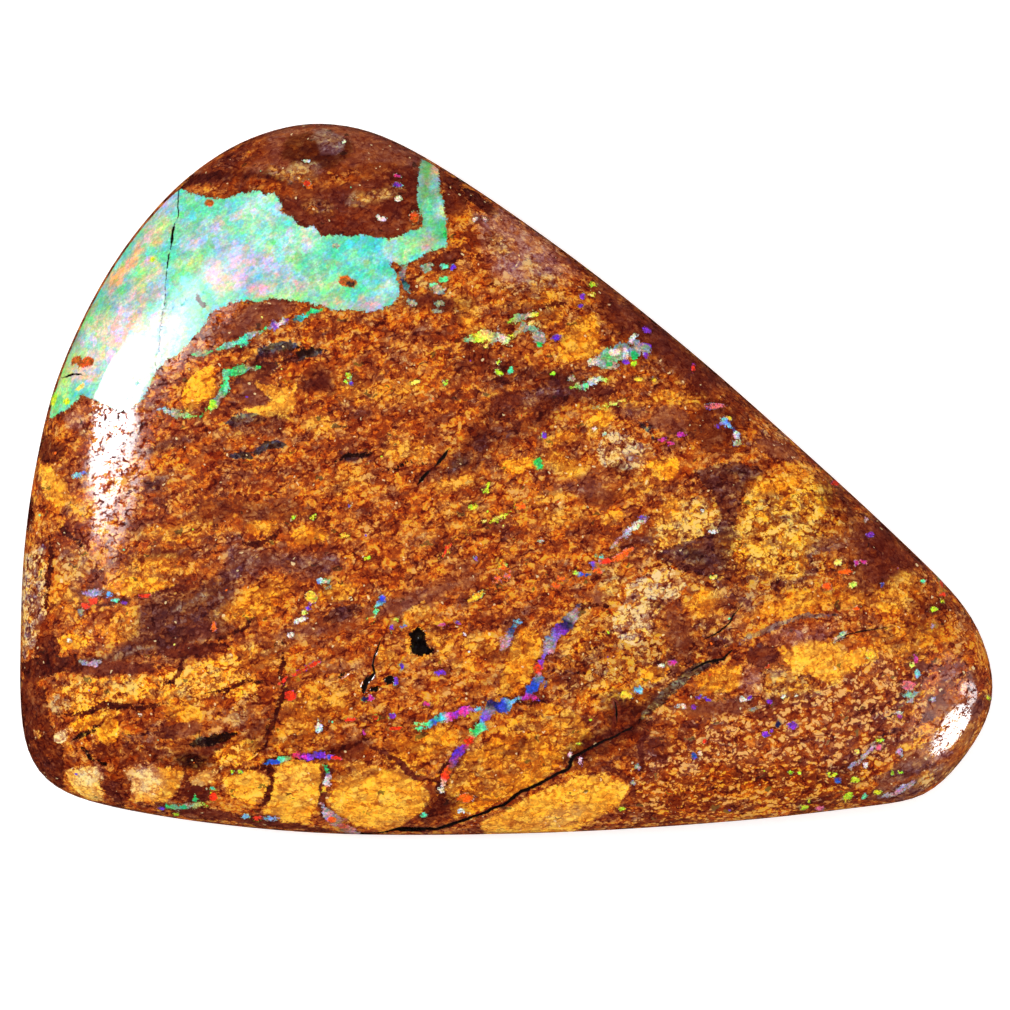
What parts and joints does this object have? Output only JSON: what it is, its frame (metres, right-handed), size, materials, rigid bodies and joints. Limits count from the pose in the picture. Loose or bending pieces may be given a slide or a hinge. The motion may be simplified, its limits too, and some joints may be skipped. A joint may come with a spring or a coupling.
{
  "type": "boulder opal cabochon",
  "caption": "Low polished freeform stone of brown ironstone with a seam of opal, in a rounded triangular outline, resting on its flat ground back.",
  "frame": {"origin": "on the flat back, under the middle of the outline's box", "axes": "+X along the stone's length, +Y towards its upper point, +Z out of the domed face"},
  "size_m": [0.038, 0.0278, 0.0057],
  "materials": {
    "ironstone_opal": "polished brown ironstone with ochre, maroon and cream patches, a teal and lilac opal seam, and small opal veins and flecks"
  },
  "bodies": {
    "root": {"boulder_opal": "ironstone_opal"}
  },
  "joints": []
}
